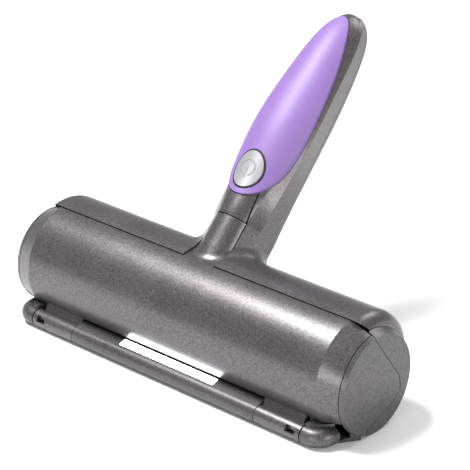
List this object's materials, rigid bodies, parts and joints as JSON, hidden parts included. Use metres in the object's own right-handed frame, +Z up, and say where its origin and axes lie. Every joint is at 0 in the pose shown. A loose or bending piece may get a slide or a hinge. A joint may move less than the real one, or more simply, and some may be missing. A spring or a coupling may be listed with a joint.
{
  "type": "lint roller",
  "caption": "Battery-driven lint roller: round head with a swing-open dust door, light bar and pile roller under it, and a leaning handle with a soft leaf-shaped grip.",
  "frame": {"origin": "on the surface, in the middle of the flat plate in front of the roller", "axes": "+X along the head, +Y to the back, +Z up; the handle leans back 45 degrees"},
  "size_m": [0.199, 0.1389, 0.141],
  "materials": {
    "shell_grey": "satin metallic-look moulding",
    "grip_purple": "soft-touch matt",
    "silver": "satin silver",
    "sign_grey": "matt",
    "black_plastic": "matt",
    "inner_grey": "matt",
    "light_lens": "frosted, lit",
    "board_green": "solder mask",
    "chip_yellow": "phosphor",
    "steel": "bright",
    "bronze": "sintered",
    "pile_fabric": "short directional pile",
    "core_white": "plain",
    "gear_white": "acetal",
    "cell_wrap": "printed-free sleeve",
    "rubber_black": "matt"
  },
  "bodies": {
    "housing": {"rear_shell": "shell_grey", "base_body": "shell_grey", "end_cap_left": "shell_grey", "end_cap_right": "shell_grey", "grip_cover": "grip_purple", "grip_frame": "inner_grey", "button_bezel": "black_plastic", "led_lens": "light_lens", "led_board": "board_green", "led_chips": "chip_yellow", "hinge_pins": "steel", "bushing_right": "bronze", "bushing_left": "bronze", "idler_pin": "steel", "gear_cover": "inner_grey", "motor": "steel", "motor_bracket": "inner_grey", "scraper_comb": "black_plastic", "front_wiper": "rubber_black", "battery_cells": "cell_wrap", "contact_plates": "steel", "switch_board": "board_green", "tact_switch": "black_plastic", "release_spring": "steel", "case_screws": "steel"},
    "door": {"front_door": "shell_grey"},
    "roller": {"roller_core": "core_white", "roller_fabric": "pile_fabric", "roller_axle": "steel", "roller_gear": "gear_white"},
    "idler": {"idler_gear": "gear_white"},
    "pinion": {"motor_pinion": "bronze", "motor_shaft": "steel"},
    "power": {"power_button": "silver", "power_sign": "sign_grey"},
    "release": {"release_button": "shell_grey"},
    "hatch": {"battery_door": "shell_grey"}
  },
  "joints": [
    {"name": "door_hinge", "type": "hinge", "parent": "housing", "child": "door", "pos_m": [0, -0.0092, 0.0043], "axis": [1, 0, 0], "range_deg": [0, 75]},
    {"name": "roller_spin", "type": "hinge", "parent": "housing", "child": "roller", "pos_m": [0, 0.02, 0.017], "axis": [1, 0, 0], "continuous": true},
    {"name": "idler_spin", "type": "hinge", "parent": "housing", "child": "idler", "pos_m": [0, 0.0296, 0.03163], "axis": [1, 0, 0], "continuous": true},
    {"name": "pinion_spin", "type": "hinge", "parent": "housing", "child": "pinion", "pos_m": [0, 0.0255, 0.0413], "axis": [1, 0, 0], "continuous": true},
    {"name": "power_press", "type": "slide", "parent": "housing", "child": "power", "axis": [0, 0.7071, -0.7071], "range_m": [0, 0.0008], "stiffness_N_per_m": 600, "springref_m": -0.0004},
    {"name": "release_press", "type": "slide", "parent": "housing", "child": "release", "axis": [0, 0.7071, -0.7071], "range_m": [0, 0.0015], "stiffness_N_per_m": 500, "springref_m": -0.0005, "deforming": ["release_spring"]},
    {"name": "hatch_lift", "type": "slide", "parent": "housing", "child": "hatch", "axis": [0, 0.7071, -0.7071], "range_m": [0, 0.03]}
  ],
  "couplings": [
    {"joint": "idler_spin", "follows": "roller_spin", "ratio": -1.3333},
    {"joint": "pinion_spin", "follows": "roller_spin", "ratio": 3.3333}
  ]
}
